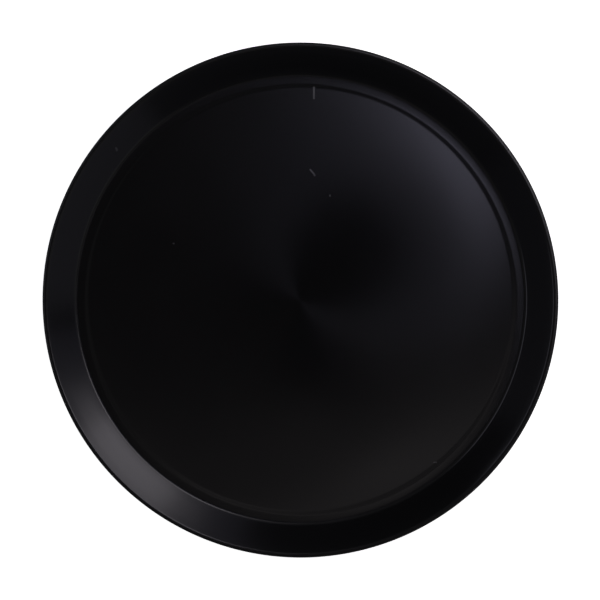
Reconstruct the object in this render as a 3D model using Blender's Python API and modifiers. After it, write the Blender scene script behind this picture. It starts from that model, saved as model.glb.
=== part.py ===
"""Round serving tray: one disc of sheet steel, pressed and spun, with a wired rim.

The tray stands on the plane Z = 0, and its axis of revolution is +Z.  The sheet is
described by the line of its upper face, as arcs and straight runs from the middle
out to the end of the rolled rim.  The lower face follows the same line, one sheet
thickness away, so the sheet keeps its thickness through every bend.
"""

import math

import bpy

# ---------------------------------------------------------------- driving sizes
# All lengths are in metres, and all angles are in radians.

TRAY_DIAMETER = 0.400         # across the outside of the rolled rim
TRAY_HEIGHT = 0.021           # from the table to the top of the rolled rim
SHEET_THICKNESS = 0.0007

WALL_SLOPE = math.radians(46.0)         # the wall's rise, measured from the table
WALL_FILLET = 0.0028          # inside radius between the foot ring and the wall

FOOT_RING_WIDTH = 0.0069      # flat ring around the floor, on which the tray stands
FLOOR_RAISE = 0.0007          # the floor's edge over the foot ring
FLOOR_EDGE_SLOPE = math.radians(0.5)    # how far the crowned floor falls away at its edge
STEP_SLOPE = math.radians(15.0)         # slope of the step between floor and foot ring
SHOULDER_RADIUS = 0.0080      # soft bend at the top of that step
CREASE_RADIUS = 0.0012        # tight bend at its foot

BEAD_DIAMETER = 0.0050        # outside of the rolled rim
BEAD_GAP = 0.00035            # between the sheet's rolled edge and the back of the wall
WIRE_CLEARANCE = 0.00030      # between the stiffening wire and the sheet around it
WIRE_BUTT_GAP = 0.0012        # between the two cut ends of the wire

# ---------------------------------------------------------------- fineness
TURN_STEPS = 84               # flats around the tray
TIGHT_ARC_STEP = math.radians(30.0)     # most turn between two points of the rolled rim
SOFT_ARC_STEP = math.radians(12.0)      # the same, in the other bends
CROWN_ARC_STEP = math.radians(0.13)     # the same, across the crowned floor
WIRE_SIDES = 8                # flats around the wire
MERGE_DISTANCE = 0.00001

# ---------------------------------------------------------------- finishes
BLACK_COAT = (0.012, 0.012, 0.014)
COAT_ROUGHNESS = 0.36
WIRE_STEEL = (0.46, 0.45, 0.44)
WIRE_ROUGHNESS = 0.42

COLLECTION_NAME = "serving_tray"

# ---------------------------------------------------------------- sizes that follow
QUARTER_TURN = math.pi / 2.0
BEAD_RADIUS = BEAD_DIAMETER / 2.0
BEAD_CENTRE_RADIUS = TRAY_DIAMETER / 2.0 - BEAD_RADIUS
BEAD_CENTRE_HEIGHT = TRAY_HEIGHT - BEAD_RADIUS
BEAD_OPEN_ANGLE = math.acos(1.0 - (SHEET_THICKNESS + BEAD_GAP) / BEAD_RADIUS)
WIRE_DIAMETER = BEAD_DIAMETER - 2.0 * (SHEET_THICKNESS + WIRE_CLEARANCE)


def clear_scene():
    """Take every object out of the scene, so that the tray is built alone."""
    for old in list(bpy.data.objects):
        bpy.data.objects.remove(old, do_unlink=True)


def metal(name, colour, roughness, metallic):
    """A Principled finish for a metal piece."""
    material = bpy.data.materials.new(name)
    material.use_nodes = True
    shader = material.node_tree.nodes["Principled BSDF"]
    shader.inputs["Base Color"].default_value = (*colour, 1.0)
    shader.inputs["Roughness"].default_value = roughness
    shader.inputs["Metallic"].default_value = metallic
    material.diffuse_color = (*colour, 1.0)
    return material


# ---------------------------------------------------------------- the sheet's line
class SheetLine:
    """Walks along the sheet's upper face, in the plane of radius and height.

    Each point is kept with the direction in which the sheet runs there, so that the
    lower face can be set square to it.
    """

    def __init__(self, radius, height):
        self.radius = radius
        self.height = height
        self.heading = 0.0
        self.points = []
        self.mark()

    def mark(self):
        """Keep the place and the heading that the line has reached."""
        self.points.append((self.radius, self.height, self.heading))

    def straight(self, length):
        """Run straight on."""
        self.radius += length * math.cos(self.heading)
        self.height += length * math.sin(self.heading)
        self.mark()

    def bend_to(self, heading, bend_radius, longest_step):
        """Turn to a new heading on an arc of the upper face."""
        start = self.heading
        turn = heading - start
        side = math.copysign(bend_radius, turn)
        centre_radius = self.radius - side * math.sin(start)
        centre_height = self.height + side * math.cos(start)
        steps = max(1, math.ceil(abs(turn) / longest_step))
        for step in range(1, steps + 1):
            self.heading = start + turn * step / steps
            self.radius = centre_radius + side * math.sin(self.heading)
            self.height = centre_height - side * math.cos(self.heading)
            self.mark()


def wall_length():
    """Length of the wall's straight run, between the fillet and the rolled rim."""
    top = BEAD_CENTRE_HEIGHT + BEAD_RADIUS * math.cos(WALL_SLOPE)
    bottom = SHEET_THICKNESS + WALL_FILLET * (1.0 - math.cos(WALL_SLOPE))
    return (top - bottom) / math.sin(WALL_SLOPE)


def step_length():
    """Length of the straight run between the shoulder and the crease."""
    shoulder_fall = SHOULDER_RADIUS * (math.cos(FLOOR_EDGE_SLOPE) - math.cos(STEP_SLOPE))
    crease_fall = CREASE_RADIUS * (1.0 - math.cos(STEP_SLOPE))
    return (FLOOR_RAISE - shoulder_fall - crease_fall) / math.sin(STEP_SLOPE)


def floor_edge_radius():
    """Radius of the floor's edge, found by coming inward from the rolled rim."""
    radius = BEAD_CENTRE_RADIUS - BEAD_RADIUS * math.sin(WALL_SLOPE)
    radius -= wall_length() * math.cos(WALL_SLOPE)
    radius -= WALL_FILLET * math.sin(WALL_SLOPE)
    radius -= FOOT_RING_WIDTH
    radius -= CREASE_RADIUS * math.sin(STEP_SLOPE)
    radius -= step_length() * math.cos(STEP_SLOPE)
    radius -= SHOULDER_RADIUS * (math.sin(STEP_SLOPE) - math.sin(FLOOR_EDGE_SLOPE))
    return radius


def sheet_line():
    """The upper face, from the middle of the floor to the end of the rolled rim."""
    crown_radius = floor_edge_radius() / math.sin(FLOOR_EDGE_SLOPE)
    crown_rise = crown_radius * (1.0 - math.cos(FLOOR_EDGE_SLOPE))
    rolled_end = WALL_SLOPE - (math.tau - BEAD_OPEN_ANGLE)
    line = SheetLine(0.0, SHEET_THICKNESS + FLOOR_RAISE + crown_rise)
    line.bend_to(-FLOOR_EDGE_SLOPE, crown_radius, CROWN_ARC_STEP)
    line.bend_to(-STEP_SLOPE, SHOULDER_RADIUS, SOFT_ARC_STEP)
    line.straight(step_length())
    line.bend_to(0.0, CREASE_RADIUS, SOFT_ARC_STEP)
    line.straight(FOOT_RING_WIDTH)
    line.bend_to(WALL_SLOPE, WALL_FILLET, SOFT_ARC_STEP)
    line.straight(wall_length())
    line.bend_to(0.0, BEAD_RADIUS, TIGHT_ARC_STEP)
    line.bend_to(-QUARTER_TURN, BEAD_RADIUS, TIGHT_ARC_STEP)
    line.bend_to(rolled_end, BEAD_RADIUS, TIGHT_ARC_STEP)
    return line.points


def sheet_section():
    """The sheet's section: outward along the upper face, and back along the lower."""
    upper = []
    lower = []
    for radius, height, heading in sheet_line():
        upper.append((radius, height))
        lower.append((radius + SHEET_THICKNESS * math.sin(heading),
                      height - SHEET_THICKNESS * math.cos(heading)))
    return upper + lower[::-1]


# ---------------------------------------------------------------- the two pieces
def make_tray_pan(collection):
    """The pressed sheet: floor, step, foot ring, wall and rolled rim in one piece."""
    section = sheet_section()
    edges = [(index, index + 1) for index in range(len(section) - 1)]
    mesh = bpy.data.meshes.new("tray_pan")
    mesh.from_pydata([(radius, 0.0, height) for radius, height in section], edges, [])
    mesh.materials.append(metal("black_coat", BLACK_COAT, COAT_ROUGHNESS, 0.0))
    pan = bpy.data.objects.new("tray_pan", mesh)
    collection.objects.link(pan)
    turn = pan.modifiers.new("turn", "SCREW")
    turn.axis = "Z"
    turn.angle = math.tau
    turn.steps = TURN_STEPS
    turn.render_steps = TURN_STEPS
    turn.use_smooth_shade = True
    turn.use_merge_vertices = True
    turn.merge_threshold = MERGE_DISTANCE
    return pan


def make_rim_wire(collection):
    """The stiffening wire that the rim is rolled round, bent to a ring and butted."""
    half_gap = WIRE_BUTT_GAP / 2.0 / BEAD_CENTRE_RADIUS
    curve = bpy.data.curves.new("rim_wire", "CURVE")
    curve.dimensions = "3D"
    curve.bevel_depth = WIRE_DIAMETER / 2.0
    curve.bevel_resolution = WIRE_SIDES // 2 - 2
    curve.use_fill_caps = True
    curve.materials.append(metal("wire_steel", WIRE_STEEL, WIRE_ROUGHNESS, 1.0))
    spline = curve.splines.new("POLY")
    spline.points.add(TURN_STEPS)
    for index, point in enumerate(spline.points):
        around = math.tau * index / TURN_STEPS
        around = min(max(around, half_gap), math.tau - half_gap)
        point.co = (BEAD_CENTRE_RADIUS * math.cos(around),
                    BEAD_CENTRE_RADIUS * math.sin(around), BEAD_CENTRE_HEIGHT, 1.0)
    wire = bpy.data.objects.new("rim_wire", curve)
    collection.objects.link(wire)
    return wire


def main():
    clear_scene()
    collection = bpy.data.collections.new(COLLECTION_NAME)
    bpy.context.scene.collection.children.link(collection)
    make_tray_pan(collection)
    make_rim_wire(collection)


main()
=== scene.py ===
"""Looks of the round serving tray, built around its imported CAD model.

Lengths are in metres and angles in radians.  The tray stands on Z = 0 and is turned
about Z.  Azimuth 0 is +X and azimuth 90 is +Y.
"""

import math

import bpy
from mathutils import Matrix, Vector


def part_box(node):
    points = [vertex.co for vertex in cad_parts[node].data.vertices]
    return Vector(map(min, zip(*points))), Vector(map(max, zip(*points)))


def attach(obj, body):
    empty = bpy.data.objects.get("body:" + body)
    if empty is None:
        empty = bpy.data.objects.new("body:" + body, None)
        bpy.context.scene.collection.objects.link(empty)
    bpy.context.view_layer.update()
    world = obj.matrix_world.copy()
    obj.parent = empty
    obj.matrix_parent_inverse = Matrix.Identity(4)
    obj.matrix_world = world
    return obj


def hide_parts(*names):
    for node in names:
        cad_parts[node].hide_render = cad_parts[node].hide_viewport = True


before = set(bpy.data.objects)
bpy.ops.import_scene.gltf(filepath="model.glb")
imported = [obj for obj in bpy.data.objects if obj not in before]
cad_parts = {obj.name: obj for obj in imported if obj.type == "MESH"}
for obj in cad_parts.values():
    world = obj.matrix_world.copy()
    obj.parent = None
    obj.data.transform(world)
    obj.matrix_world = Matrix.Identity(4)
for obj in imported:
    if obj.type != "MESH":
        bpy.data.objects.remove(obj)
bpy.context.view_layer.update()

# ---------------------------------------------------------------- sizes from the frame
PAN_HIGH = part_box("tray_pan")[1]
WIRE_LOW, WIRE_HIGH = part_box("rim_wire")
TRAY_RADIUS = PAN_HIGH.x
TRAY_HEIGHT = PAN_HIGH.z
WIRE_RADIUS = (WIRE_HIGH.z - WIRE_LOW.z) / 2.0
WIRE_HEIGHT = (WIRE_HIGH.z + WIRE_LOW.z) / 2.0
BEAD_RADIUS = TRAY_HEIGHT - WIRE_HEIGHT
BEAD_CENTRE = TRAY_RADIUS - BEAD_RADIUS

# ---------------------------------------------------------------- sizes of the section
SHEET_THICKNESS = 0.0007
WALL_SLOPE = math.radians(45.5)
WALL_FILLET = 0.0040
FOOT_RING_WIDTH = 0.0046
RING_INNER_SLOPE = math.radians(0.1)    # the ring's upper face is dished very slightly
RING_OUTER_SLOPE = math.radians(1.1)
RING_RADIUS = FOOT_RING_WIDTH / (RING_OUTER_SLOPE - RING_INNER_SLOPE)
FLOOR_RAISE = 0.00022
FLOOR_EDGE_SLOPE = math.radians(0.5)
STEP_SLOPE = math.radians(4.5)
SHOULDER_RADIUS = 0.030
CREASE_RADIUS = 0.025
BEAD_GAP = 0.00035
WIRE_BUTT_GAP = 0.0012

# ---------------------------------------------------------------- fineness
FLATS_AROUND = 320
CROWN_STEP = math.radians(0.021)
RING_STEP = math.radians(0.25)
FILLET_STEP = math.radians(3.0)
BEAD_STEP = math.radians(6.0)
STRAIGHT_RUNS = 4
WELD_DISTANCE = 1e-6
SHARP_ANGLE = math.radians(40.0)

# ---------------------------------------------------------------- camera
CAMERA_DISTANCE = 1.5
CAMERA_LEAN = math.radians(3.0)
CAMERA_AZIMUTH = math.radians(80.0)
SENSOR_WIDTH = 36.0
FRAME_HALF_WIDTH = 0.2326     # half of what the camera sees across at the rim's height
FRAME_CENTRE = (-0.0001, 0.0014)

# ---------------------------------------------------------------- floor
FLOOR_HALF_WIDTH = 12.0
FLOOR_DROP = 0.0003           # how far the floor lies under the tray
FLOOR_GREY = (0.86, 0.86, 0.86, 1.0)
FLOOR_ROUGHNESS = 0.9
WHITE = (1.0, 1.0, 1.0, 1.0)

# ---------------------------------------------------------------- light
LIGHT_DISTANCE = 3.0
LUMINANCE = (0.2126, 0.7152, 0.0722)
NEUTRAL = (1.0, 1.0, 1.0)
COOL = (0.99, 0.97, 1.27)
PALE = (1.0, 0.98, 1.18)
KEY = (1.04, 0.98, 1.06)
WARM = (1.05, 0.98, 1.0)

# The dim dome round the studio: the sine of the elevation, and how bright it is there.
DOME = (
    (0.001, 0.015), (0.14, 0.015), (0.28, 0.05),
    (0.80, 0.05), (0.97, 0.004), (0.999, 0.004),
)
DOME_BLUE = 1.03

# Soft panels, in degrees as seen from the tray: azimuth, angle off the vertical, reach
# around, reach up, then radiance and tint.
PANELS = (
    ("overhead_middle", 43, 8.4, 7, 1.8, 2.1, COOL),
    ("overhead_right", 19, 8.4, 4, 1.8, 1.5, COOL),
    ("overhead_far_back", 96, 8.8, 5, 2.4, 0.14, PALE),
    ("overhead_outer", 44, 11, 9, 1.6, 0.7, COOL),
    ("overhead_core", 26, 6.6, 3.1, 5.2, 0.46, COOL),
    ("key_sky", 41, 20, 24, 9, 0.17, COOL),
    ("key_lamp", 41, 34, 34, 20, 2.2, KEY),
    ("key_core", 42, 70, 27, 37, 1.0, KEY),
    ("key_panel", 41, 69, 47, 37, 0.26, KEY),
    ("key_spill", 40, 63.5, 73, 50, 0.12, COOL),
    ("key_low", 42, 85, 40, 7, 1.0, KEY),
    ("back_sky", 112, 30, 56, 34, 0.044, NEUTRAL),
    ("left_wisp", 170, 8, 14, 10, 0.03, WARM),
    ("left_sky", 175, 27, 36, 26, 0.038, NEUTRAL),
    ("left_deep", 166, 67, 50, 20, 0.6, PALE),
    ("left_low", 186, 82, 66, 11, 0.048, PALE),
    ("front_left", 217, 34, 36, 44, 0.04, WARM),
    ("front_strip", 296, 12.3, 32, 2.4, 0.36, WARM),
    ("front_near", 275, 9.5, 31, 3.5, 0.1, WARM),
    ("front_edge", 282, 19, 56, 9, 0.15, WARM),
    ("front_low", 262, 80, 83, 14, 0.038, PALE),
    ("right_mid", 329, 60, 47, 30, 0.16, NEUTRAL),
    ("right_low", 332, 81, 53, 15, 0.12, PALE),
)

# ---------------------------------------------------------------- finishes
COAT_DARK = (0.0030, 0.0030, 0.0034, 1.0)
COAT_LIGHT = (0.0050, 0.0050, 0.0056, 1.0)
SCUFF_COLOUR = (0.16, 0.16, 0.17, 1.0)
COAT_ROUGHNESS = 0.16
COAT_GRAIN = 0.7              # how much wider the gloss spreads round the tray than across
COAT_IOR = 1.5
RIM_DULLING = 0.24            # how much rougher the rim's outer side is rubbed
PEEL_SIZE = 0.0018            # lumps of the enamel's orange peel, and their depth
PEEL_DEPTH = 0.0000008
RING_SIZE = 0.0009            # rings left by spinning, and their depth
RING_DEPTH = 0.0000002
CLOUD_SIZE = 0.045            # slow changes in the coat's depth and gloss
CLOUD_GLOSS = 0.020
RING_GLOSS = 0.008
MARK_ROUGHNESS = 0.25         # how much rougher a pale mark is
DUST_SPACING = 0.012
DUST_SIZE = 0.0005
DUST_SHARE = 0.02             # how many of the places for a speck hold one
DUST_STRENGTH = 0.35
FOOT_WEAR_LOW = 0.00001       # the lowest face is rubbed up to these heights
FOOT_WEAR_HIGH = 0.00012
FOOT_WEAR_SIZE = 0.004
FOOT_WEAR_STRENGTH = 0.5
STEEL_BRIGHT = (0.50, 0.49, 0.48, 1.0)
STEEL_DULL = (0.30, 0.28, 0.26, 1.0)
STEEL_ROUGHNESS = 0.30
DRAWN_LINE_SIZE = 0.00018
DRAWN_LINE_DEPTH = 0.000008
TARNISH_SIZE = 0.006
WIRE_SIDES = 20

# Marks of use on the upper face: from, to, width, and how strongly they show.
SCUFFS = (
    ((0.0106, 0.1580), (0.0106, 0.1665), 0.0012, 0.80),
    ((0.0078, 0.1025), (0.0104, 0.0995), 0.0011, 0.65),
    ((0.0104, 0.0995), (0.0112, 0.0980), 0.0013, 0.45),
    ((0.0232, 0.0826), (0.0232, 0.0820), 0.0011, 0.50),
    ((-0.0995, 0.0448), (-0.0990, 0.0448), 0.0011, 0.35),
    ((0.1050, -0.1274), (0.1070, -0.1274), 0.0011, 0.30),
    ((-0.1426, 0.1175), (-0.1430, 0.1190), 0.0014, 0.30),
)


# ================================================================ building trees
class Tree:
    """A node tree that is being built, with short calls for what it needs most."""

    def __init__(self, tree):
        self.tree = tree

    def node(self, kind, inputs=None, **settings):
        """Adds a node, sets it, and fills its inputs with values or links."""
        made = self.tree.nodes.new(kind)
        for name, value in settings.items():
            setattr(made, name, value)
        for key, value in (inputs or {}).items():
            self.feed(made.inputs[key], value)
        return made

    def feed(self, socket, value):
        """Links a socket to another one, or sets its value."""
        if isinstance(value, bpy.types.NodeSocket):
            self.tree.links.new(value, socket)
        else:
            socket.default_value = value

    def math(self, operation, first, second=0.0, third=0.0, clamp=False):
        """One sum on numbers, and its result."""
        made = self.node("ShaderNodeMath", {0: first, 1: second, 2: third},
                         operation=operation, use_clamp=clamp)
        return made.outputs[0]

    def vector(self, operation, first, second=(0.0, 0.0, 0.0), result="Vector"):
        """One sum on vectors, and its result."""
        made = self.node("ShaderNodeVectorMath", {0: first, 1: second}, operation=operation)
        return made.outputs[result]


def geometry_tree(name, inputs):
    """A Geometry Nodes tree with a mesh coming out and named inputs going in."""
    group = bpy.data.node_groups.new(name, "GeometryNodeTree")
    group.interface.new_socket("Mesh", in_out="OUTPUT", socket_type="NodeSocketGeometry")
    for label, kind in inputs:
        group.interface.new_socket(label, in_out="INPUT", socket_type="NodeSocket" + kind)
    tree = Tree(group)
    return tree, tree.node("NodeGroupInput").outputs


def end_tree(tree, shape, material):
    """The last nodes of every tree: real points, smooth faces and the finish."""
    smooth = tree.node("GeometryNodeSetShadeSmooth", {"Geometry": shape})
    real = tree.node("GeometryNodeRealizeInstances", {"Geometry": smooth.outputs[0]})
    coated = tree.node("GeometryNodeSetMaterial", {"Geometry": real.outputs[0],
                                                   "Material": material})
    tree.node("NodeGroupOutput", {0: coated.outputs[0]})


def run_tree(name, start_mesh, tree, values):
    """Runs a tree on a mesh and gives its result as a plain object."""
    worker = bpy.data.objects.new(name + "_worker", start_mesh)
    bpy.context.scene.collection.objects.link(worker)
    modifier = worker.modifiers.new(name, "NODES")
    modifier.node_group = tree.tree
    for item in tree.tree.interface.items_tree:
        if item.in_out == "INPUT" and item.name in values:
            modifier[item.identifier] = values[item.name]
    graph = bpy.context.evaluated_depsgraph_get()
    mesh = bpy.data.meshes.new_from_object(worker.evaluated_get(graph))
    bpy.data.objects.remove(worker)
    mesh.name = name
    mesh.set_sharp_from_angle(angle=SHARP_ANGLE)
    piece = bpy.data.objects.new(name, mesh)
    bpy.context.scene.collection.objects.link(piece)
    return piece


# ================================================================ camera
def make_camera():
    """Looks almost straight down, from a little behind the middle of the tray."""
    target = Vector((FRAME_CENTRE[0], FRAME_CENTRE[1], WIRE_HEIGHT))
    towards = Vector((math.sin(CAMERA_LEAN) * math.cos(CAMERA_AZIMUTH),
                      math.sin(CAMERA_LEAN) * math.sin(CAMERA_AZIMUTH),
                      math.cos(CAMERA_LEAN)))
    right = Vector((0.0, 1.0, 0.0)).cross(towards).normalized()
    up = towards.cross(right)
    data = bpy.data.cameras.new("camera")
    data.sensor_width = SENSOR_WIDTH
    data.lens = SENSOR_WIDTH / 2.0 * CAMERA_DISTANCE / FRAME_HALF_WIDTH
    camera = bpy.data.objects.new("camera", data)
    camera.matrix_world = (Matrix.Translation(target + towards * CAMERA_DISTANCE)
                           @ Matrix((right, up, towards)).transposed().to_4x4())
    bpy.context.scene.collection.objects.link(camera)
    bpy.context.scene.camera = camera


# ================================================================ floor and light
def make_floor():
    """A wide, pale, evenly lit floor that the coat doesn't mirror."""
    material = bpy.data.materials.new("pale_floor")
    material.use_nodes = True
    shader = material.node_tree.nodes["Principled BSDF"]
    shader.inputs["Base Color"].default_value = FLOOR_GREY
    shader.inputs["Roughness"].default_value = FLOOR_ROUGHNESS
    shader.inputs["Emission Color"].default_value = WHITE
    shader.inputs["Emission Strength"].default_value = 1.0
    mesh = bpy.data.meshes.new("floor")
    half = FLOOR_HALF_WIDTH
    corners = [(-half, -half), (half, -half), (half, half), (-half, half)]
    mesh.from_pydata([(x, y, -FLOOR_DROP) for x, y in corners], [], [(0, 1, 2, 3)])
    mesh.materials.append(material)
    floor = bpy.data.objects.new("floor", mesh)
    bpy.context.scene.collection.objects.link(floor)
    floor.visible_glossy = False


def make_light(name, azimuth, zenith, across, high, radiance, tint):
    """A soft panel facing the tray, placed and sized by the angles it is seen under."""
    around = math.radians(azimuth)
    down = math.radians(zenith)
    towards = Vector((math.sin(down) * math.cos(around),
                      math.sin(down) * math.sin(around), math.cos(down)))
    right = Vector((-math.sin(around), math.cos(around), 0.0))
    up = towards.cross(right)
    data = bpy.data.lights.new(name, "AREA")
    data.shape = "RECTANGLE"
    data.size = 2.0 * LIGHT_DISTANCE * math.tan(math.radians(across / 2.0))
    data.size_y = 2.0 * LIGHT_DISTANCE * math.tan(math.radians(high / 2.0))
    brightness = sum(share * part for share, part in zip(LUMINANCE, tint))
    data.energy = radiance / brightness * math.pi * data.size * data.size_y
    data.color = tint
    light = bpy.data.objects.new(name, data)
    light.matrix_world = (Matrix.Translation(towards * LIGHT_DISTANCE)
                          @ Matrix((right, up, towards)).transposed().to_4x4())
    light.visible_camera = False
    bpy.context.scene.collection.objects.link(light)


def make_lights():
    """Soft panels round the tray, in an otherwise dark studio."""
    for panel in PANELS:
        make_light(*panel)


def make_world():
    """A dim studio dome, dark overhead, and pale where the camera looks past the floor."""
    world = bpy.data.worlds.new("studio")
    world.use_nodes = True
    world.node_tree.nodes.clear()
    tree = Tree(world.node_tree)
    path = tree.node("ShaderNodeLightPath")
    direction = tree.node("ShaderNodeTexCoord").outputs["Generated"]
    height = tree.node("ShaderNodeSeparateXYZ", {0: direction}).outputs["Z"]
    dome = tree.node("ShaderNodeValToRGB", {"Fac": height})
    ramp = dome.color_ramp.elements
    for position, glow in DOME:
        element = ramp.new(position)
        element.color = (glow, glow, glow * DOME_BLUE, 1.0)
    ramp.remove(ramp[-1])
    ramp.remove(ramp[0])
    dim = tree.node("ShaderNodeBackground", {"Color": dome.outputs["Color"]})
    pale = tree.node("ShaderNodeBackground", {"Color": WHITE})
    mix = tree.node("ShaderNodeMixShader", {0: path.outputs["Is Camera Ray"],
                                            1: dim.outputs[0], 2: pale.outputs[0]})
    tree.node("ShaderNodeOutputWorld", {"Surface": mix.outputs[0]})
    bpy.context.scene.world = world


# ================================================================ finishes
def new_finish(name):
    """A finish, the tree it is built in, its shader and the piece's own coordinates."""
    material = bpy.data.materials.new(name)
    material.use_nodes = True
    tree = Tree(material.node_tree)
    shader = material.node_tree.nodes["Principled BSDF"]
    place = tree.node("ShaderNodeTexCoord").outputs["Object"]
    return material, tree, shader, place


def noise(tree, place, size, detail=2.0, roughness=0.5):
    """Even grain whose lumps are about one size across, from 0 to 1."""
    made = tree.node("ShaderNodeTexNoise", {"Vector": place, "Scale": 1.0 / size,
                                            "Detail": detail, "Roughness": roughness})
    return made.outputs[0]


def between(tree, value, low, high):
    """A soft step from 0 to 1 as a value goes from low to high."""
    made = tree.node("ShaderNodeMapRange", {"Value": value, "From Min": low,
                                            "From Max": high},
                     interpolation_type="SMOOTHSTEP")
    return made.outputs[0]


def from_axis(tree, place):
    """How far a point is from the tray's axis."""
    flat = tree.vector("MULTIPLY", place, (1.0, 1.0, 0.0))
    return flat, tree.vector("LENGTH", flat, result="Value")


def spin_marks(tree, radius, size):
    """Fine uneven rings round the axis, as a spinning tool leaves them."""
    made = tree.node("ShaderNodeTexNoise", {"W": tree.math("DIVIDE", radius, size),
                                            "Scale": 1.0, "Detail": 3.0},
                     noise_dimensions="1D")
    return made.outputs[0]


def stroke(tree, flat, start, end, width):
    """A mask of 1 along a straight scratch on the tray, and 0 beside it."""
    run = Vector((end[0] - start[0], end[1] - start[1], 0.0))
    offset = tree.vector("SUBTRACT", flat, (start[0], start[1], 0.0))
    along = tree.vector("DOT_PRODUCT", offset, tuple(run), result="Value")
    share = tree.math("DIVIDE", along, max(run.length_squared, 1e-12), clamp=True)
    nearest = tree.node("ShaderNodeVectorMath", {0: tuple(run), "Scale": share},
                        operation="SCALE").outputs[0]
    away = tree.vector("DISTANCE", offset, nearest, result="Value")
    return tree.math("SUBTRACT", 1.0, between(tree, away, width * 0.25, width * 0.75))


def handling_marks(tree, flat):
    """The tray's few scuffs: a scratch, a hooked chip and some specks."""
    mask = 0.0
    for start, end, width, strength in SCUFFS:
        mark = stroke(tree, flat, start, end, width)
        mask = tree.math("MAXIMUM", mask, tree.math("MULTIPLY", mark, strength))
    return mask


def dust(tree, place, spacing, size, share):
    """Sparse round specks of dust."""
    cells = tree.node("ShaderNodeTexVoronoi", {"Vector": place, "Scale": 1.0 / spacing})
    chance = tree.node("ShaderNodeSeparateColor", {0: cells.outputs["Color"]}).outputs[0]
    picked = tree.math("LESS_THAN", chance, share)
    away = tree.math("MULTIPLY", cells.outputs["Distance"], spacing)
    speck = tree.math("SUBTRACT", 1.0, between(tree, away, size * 0.2, size * 0.5))
    return tree.math("MULTIPLY", speck, picked)


def foot_wear(tree, place):
    """Rubbing on the lowest face of the foot ring, where the tray slides on tables."""
    height = tree.node("ShaderNodeSeparateXYZ", {0: place}).outputs["Z"]
    low = tree.math("SUBTRACT", 1.0, between(tree, height, FOOT_WEAR_LOW, FOOT_WEAR_HIGH))
    patches = between(tree, noise(tree, place, FOOT_WEAR_SIZE, 4.0, 0.7), 0.42, 0.75)
    return tree.math("MULTIPLY", low, patches)


def black_coat():
    """Satin black baked enamel over spun steel."""
    material, tree, shader, place = new_finish("black_coat")
    flat, radius = from_axis(tree, place)
    cloudy = noise(tree, place, CLOUD_SIZE, 3.0, 0.6)
    peel = noise(tree, place, PEEL_SIZE, 2.0, 0.5)
    rings = spin_marks(tree, radius, RING_SIZE)
    scuffed = handling_marks(tree, flat)
    dusty = dust(tree, place, DUST_SPACING, DUST_SIZE, DUST_SHARE)
    worn = foot_wear(tree, place)
    rubbed = between(tree, radius, BEAD_CENTRE, BEAD_CENTRE + BEAD_RADIUS * 0.4)
    pale = tree.math("MAXIMUM", scuffed, tree.math("MULTIPLY", dusty, DUST_STRENGTH))
    pale = tree.math("MAXIMUM", pale, tree.math("MULTIPLY", worn, FOOT_WEAR_STRENGTH))
    base = tree.node("ShaderNodeMix", {"Factor": cloudy, "A": COAT_DARK, "B": COAT_LIGHT},
                     data_type="RGBA")
    marked = tree.node("ShaderNodeMix", {"Factor": pale, "A": base.outputs["Result"],
                                         "B": SCUFF_COLOUR}, data_type="RGBA")
    rough = tree.math("ADD", COAT_ROUGHNESS - CLOUD_GLOSS / 2.0,
                      tree.math("MULTIPLY", cloudy, CLOUD_GLOSS))
    rough = tree.math("ADD", rough, tree.math("MULTIPLY", rings, RING_GLOSS))
    rough = tree.math("ADD", rough, tree.math("MULTIPLY", rubbed, RIM_DULLING))
    rough = tree.math("ADD", rough, tree.math("MULTIPLY", pale, MARK_ROUGHNESS), clamp=True)
    ring_bump = tree.node("ShaderNodeBump", {"Distance": RING_DEPTH, "Height": rings})
    peel_bump = tree.node("ShaderNodeBump", {"Distance": PEEL_DEPTH, "Height": peel,
                                             "Normal": ring_bump.outputs[0]})
    tangent = tree.node("ShaderNodeTangent", direction_type="RADIAL", axis="Z")
    tree.feed(shader.inputs["Base Color"], marked.outputs["Result"])
    tree.feed(shader.inputs["Roughness"], rough)
    tree.feed(shader.inputs["Anisotropic"], COAT_GRAIN)
    tree.feed(shader.inputs["IOR"], COAT_IOR)
    tree.feed(shader.inputs["Tangent"], tangent.outputs[0])
    tree.feed(shader.inputs["Normal"], peel_bump.outputs[0])
    return material


def drawn_steel():
    """Bare wire with the long fine lines that the drawing die leaves."""
    material, tree, shader, place = new_finish("drawn_steel")
    flat, radius = from_axis(tree, place)
    height = tree.node("ShaderNodeSeparateXYZ", {0: place}).outputs["Z"]
    turned = tree.node("ShaderNodeCombineXYZ", {"X": radius, "Y": height})
    slow = tree.vector("MULTIPLY", flat, (0.02, 0.02, 0.0))
    lines = noise(tree, tree.vector("ADD", turned.outputs[0], slow), DRAWN_LINE_SIZE, 3.0, 0.6)
    tarnish = between(tree, noise(tree, place, TARNISH_SIZE, 4.0, 0.65), 0.35, 0.75)
    colour = tree.node("ShaderNodeMix", {"Factor": tarnish, "A": STEEL_BRIGHT,
                                         "B": STEEL_DULL}, data_type="RGBA")
    rough = tree.math("ADD", STEEL_ROUGHNESS, tree.math("MULTIPLY", lines, 0.14))
    rough = tree.math("ADD", rough, tree.math("MULTIPLY", tarnish, 0.12))
    bump = tree.node("ShaderNodeBump", {"Distance": DRAWN_LINE_DEPTH, "Height": lines})
    tree.feed(shader.inputs["Base Color"], colour.outputs["Result"])
    tree.feed(shader.inputs["Metallic"], 1.0)
    tree.feed(shader.inputs["Roughness"], rough)
    tree.feed(shader.inputs["Normal"], bump.outputs[0])
    return material


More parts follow.
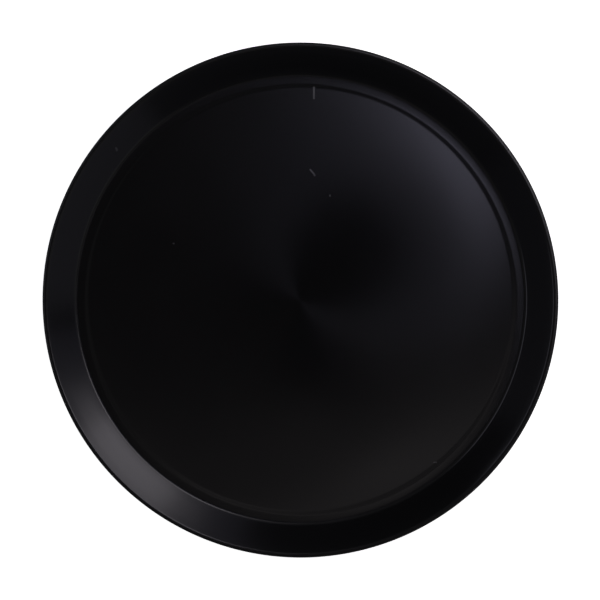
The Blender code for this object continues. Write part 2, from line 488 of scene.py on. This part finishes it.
# ================================================================ the pressed pan
class SheetLine:
    """Walks along the sheet's upper face, in the plane of radius and height."""

    def __init__(self, radius, height):
        self.radius = radius
        self.height = height
        self.heading = 0.0
        self.points = []
        self.mark()

    def mark(self):
        """Keeps the place and the heading that the line has reached."""
        self.points.append((self.radius, self.height, self.heading))

    def straight(self, length):
        """Runs straight on."""
        for _ in range(STRAIGHT_RUNS):
            self.radius += length / STRAIGHT_RUNS * math.cos(self.heading)
            self.height += length / STRAIGHT_RUNS * math.sin(self.heading)
            self.mark()

    def bend_to(self, heading, bend_radius, longest_step):
        """Turns to a new heading on an arc of the upper face."""
        start = self.heading
        turn = heading - start
        side = math.copysign(bend_radius, turn)
        centre_radius = self.radius - side * math.sin(start)
        centre_height = self.height + side * math.cos(start)
        steps = max(1, math.ceil(abs(turn) / longest_step))
        for step in range(1, steps + 1):
            self.heading = start + turn * step / steps
            self.radius = centre_radius + side * math.sin(self.heading)
            self.height = centre_height - side * math.cos(self.heading)
            self.mark()


def arc_run(start, end, bend_radius):
    """How far outward a bend goes, from one slope to another."""
    return abs(bend_radius * (math.sin(end) - math.sin(start)))


def arc_rise(start, end, bend_radius):
    """How far up a bend goes, from one slope to another."""
    return math.copysign(bend_radius, end - start) * (math.cos(start) - math.cos(end))


def section_lengths():
    """The step's length, the wall's length, and the radius of the floor's edge."""
    down = ((-FLOOR_EDGE_SLOPE, -STEP_SLOPE, SHOULDER_RADIUS),
            (-STEP_SLOPE, RING_INNER_SLOPE, CREASE_RADIUS))
    up = ((RING_INNER_SLOPE, RING_OUTER_SLOPE, RING_RADIUS),
          (RING_OUTER_SLOPE, WALL_SLOPE, WALL_FILLET),
          (WALL_SLOPE, 0.0, BEAD_RADIUS))
    fall = FLOOR_RAISE + sum(arc_rise(*bend) for bend in down)
    climb = TRAY_HEIGHT - SHEET_THICKNESS - sum(arc_rise(*bend) for bend in up)
    step = fall / math.sin(STEP_SLOPE)
    wall = climb / math.sin(WALL_SLOPE)
    run = sum(arc_run(*bend) for bend in down + up)
    run += step * math.cos(STEP_SLOPE) + wall * math.cos(WALL_SLOPE)
    return step, wall, BEAD_CENTRE - run


def section_mesh():
    """The sheet's section as a line of points: upper face out, lower face back in."""
    step, wall, edge = section_lengths()
    crown_radius = edge / math.sin(FLOOR_EDGE_SLOPE)
    crown_rise = crown_radius * (1.0 - math.cos(FLOOR_EDGE_SLOPE))
    open_angle = math.acos(1.0 - (SHEET_THICKNESS + BEAD_GAP) / BEAD_RADIUS)
    line = SheetLine(0.0, SHEET_THICKNESS + FLOOR_RAISE + crown_rise)
    line.bend_to(-FLOOR_EDGE_SLOPE, crown_radius, CROWN_STEP)
    line.bend_to(-STEP_SLOPE, SHOULDER_RADIUS, RING_STEP)
    line.straight(step)
    line.bend_to(RING_INNER_SLOPE, CREASE_RADIUS, RING_STEP)
    line.bend_to(RING_OUTER_SLOPE, RING_RADIUS, RING_STEP)
    line.bend_to(WALL_SLOPE, WALL_FILLET, FILLET_STEP)
    line.straight(wall)
    line.bend_to(0.0, BEAD_RADIUS, BEAD_STEP)
    line.bend_to(-math.pi / 2.0, BEAD_RADIUS, BEAD_STEP)
    line.bend_to(WALL_SLOPE - math.tau + open_angle, BEAD_RADIUS, BEAD_STEP)
    upper = [(radius, 0.0, height) for radius, height, heading in line.points]
    lower = [(radius + SHEET_THICKNESS * math.sin(heading), 0.0,
              height - SHEET_THICKNESS * math.cos(heading))
             for radius, height, heading in line.points]
    points = upper + lower[::-1]
    mesh = bpy.data.meshes.new("pan_section")
    mesh.from_pydata(points, [(i, i + 1) for i in range(len(points) - 1)], [])
    return mesh


def turning_tree():
    """Turns a section, radius in X and height in Z, all the way round Z."""
    tree, given = geometry_tree("turn_section", [
        ("Section", "Geometry"), ("Flats Around", "Int"), ("Weld Distance", "Float"),
        ("Finish", "Material")])
    flats = given["Flats Around"]
    count = tree.node("GeometryNodeAttributeDomainSize", {"Geometry": given["Section"]})
    rows = tree.math("ADD", flats, 1.0)
    grid = tree.node("GeometryNodeMeshGrid", {"Vertices X": count.outputs["Point Count"],
                                              "Vertices Y": rows})
    index = tree.node("GeometryNodeInputIndex").outputs[0]
    column = tree.math("FLOOR", tree.math("DIVIDE", tree.math("ADD", index, 0.5), rows))
    row = tree.math("SUBTRACT", index, tree.math("MULTIPLY", column, rows))
    place = tree.node("GeometryNodeInputPosition").outputs[0]
    sample = tree.node("GeometryNodeSampleIndex", data_type="FLOAT_VECTOR")
    tree.feed(sample.inputs["Geometry"], given["Section"])
    tree.feed(sample.inputs["Value"], place)
    tree.feed(sample.inputs["Index"], column)
    point = tree.node("ShaderNodeSeparateXYZ", {0: sample.outputs[0]}).outputs
    angle = tree.math("MULTIPLY", tree.math("DIVIDE", row, flats), math.tau)
    turned = tree.node("ShaderNodeCombineXYZ", {
        "X": tree.math("MULTIPLY", point["X"], tree.math("COSINE", angle)),
        "Y": tree.math("MULTIPLY", point["X"], tree.math("SINE", angle)),
        "Z": point["Z"]})
    moved = tree.node("GeometryNodeSetPosition", {"Geometry": grid.outputs["Mesh"],
                                                  "Position": turned.outputs[0]})
    welded = tree.node("GeometryNodeMergeByDistance", {"Geometry": moved.outputs[0],
                                                       "Distance": given["Weld Distance"]})
    end_tree(tree, welded.outputs[0], given["Finish"])
    return tree


def make_pan(coat):
    """The pressed sheet: crowned floor, step, foot ring, wall and rolled rim."""
    pan = run_tree("pressed_pan", section_mesh(), turning_tree(), {
        "Flats Around": FLATS_AROUND, "Weld Distance": WELD_DISTANCE, "Finish": coat})
    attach(pan, "root")
    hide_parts("tray_pan")


# ================================================================ the rim's wire
def bending_tree():
    """Bends a round wire to an open ring round Z."""
    tree, given = geometry_tree("bend_wire", [
        ("Ring Radius", "Float"), ("Ring Height", "Float"), ("Wire Radius", "Float"),
        ("Butt Gap", "Float"), ("Flats Around", "Int"), ("Finish", "Material")])
    gap_angle = tree.math("DIVIDE", given["Butt Gap"], given["Ring Radius"])
    arc = tree.node("GeometryNodeCurveArc", {
        "Resolution": given["Flats Around"], "Radius": given["Ring Radius"],
        "Start Angle": tree.math("MULTIPLY", gap_angle, 0.5),
        "Sweep Angle": tree.math("SUBTRACT", math.tau, gap_angle)}, mode="RADIUS")
    wire = tree.node("GeometryNodeCurvePrimitiveCircle", {
        "Resolution": WIRE_SIDES, "Radius": given["Wire Radius"]})
    ring = tree.node("GeometryNodeCurveToMesh", {"Curve": arc.outputs[0],
                                                 "Profile Curve": wire.outputs[0],
                                                 "Fill Caps": True})
    lift = tree.node("ShaderNodeCombineXYZ", {"Z": given["Ring Height"]})
    lifted = tree.node("GeometryNodeTransform", {"Geometry": ring.outputs[0],
                                                 "Translation": lift.outputs[0]})
    end_tree(tree, lifted.outputs[0], given["Finish"])
    return tree


def make_wire(steel):
    """The stiffening wire inside the rolled rim, with its butted ends."""
    wire = run_tree("butted_rim_wire", bpy.data.meshes.new("wire_start"), bending_tree(), {
        "Ring Radius": BEAD_CENTRE, "Ring Height": WIRE_HEIGHT, "Wire Radius": WIRE_RADIUS,
        "Butt Gap": WIRE_BUTT_GAP, "Flats Around": FLATS_AROUND, "Finish": steel})
    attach(wire, "root")
    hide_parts("rim_wire")


# ================================================================ the scene
bpy.context.scene.view_settings.view_transform = "Standard"
make_camera()
make_floor()
make_lights()
make_world()
make_pan(black_coat())
make_wire(drawn_steel())
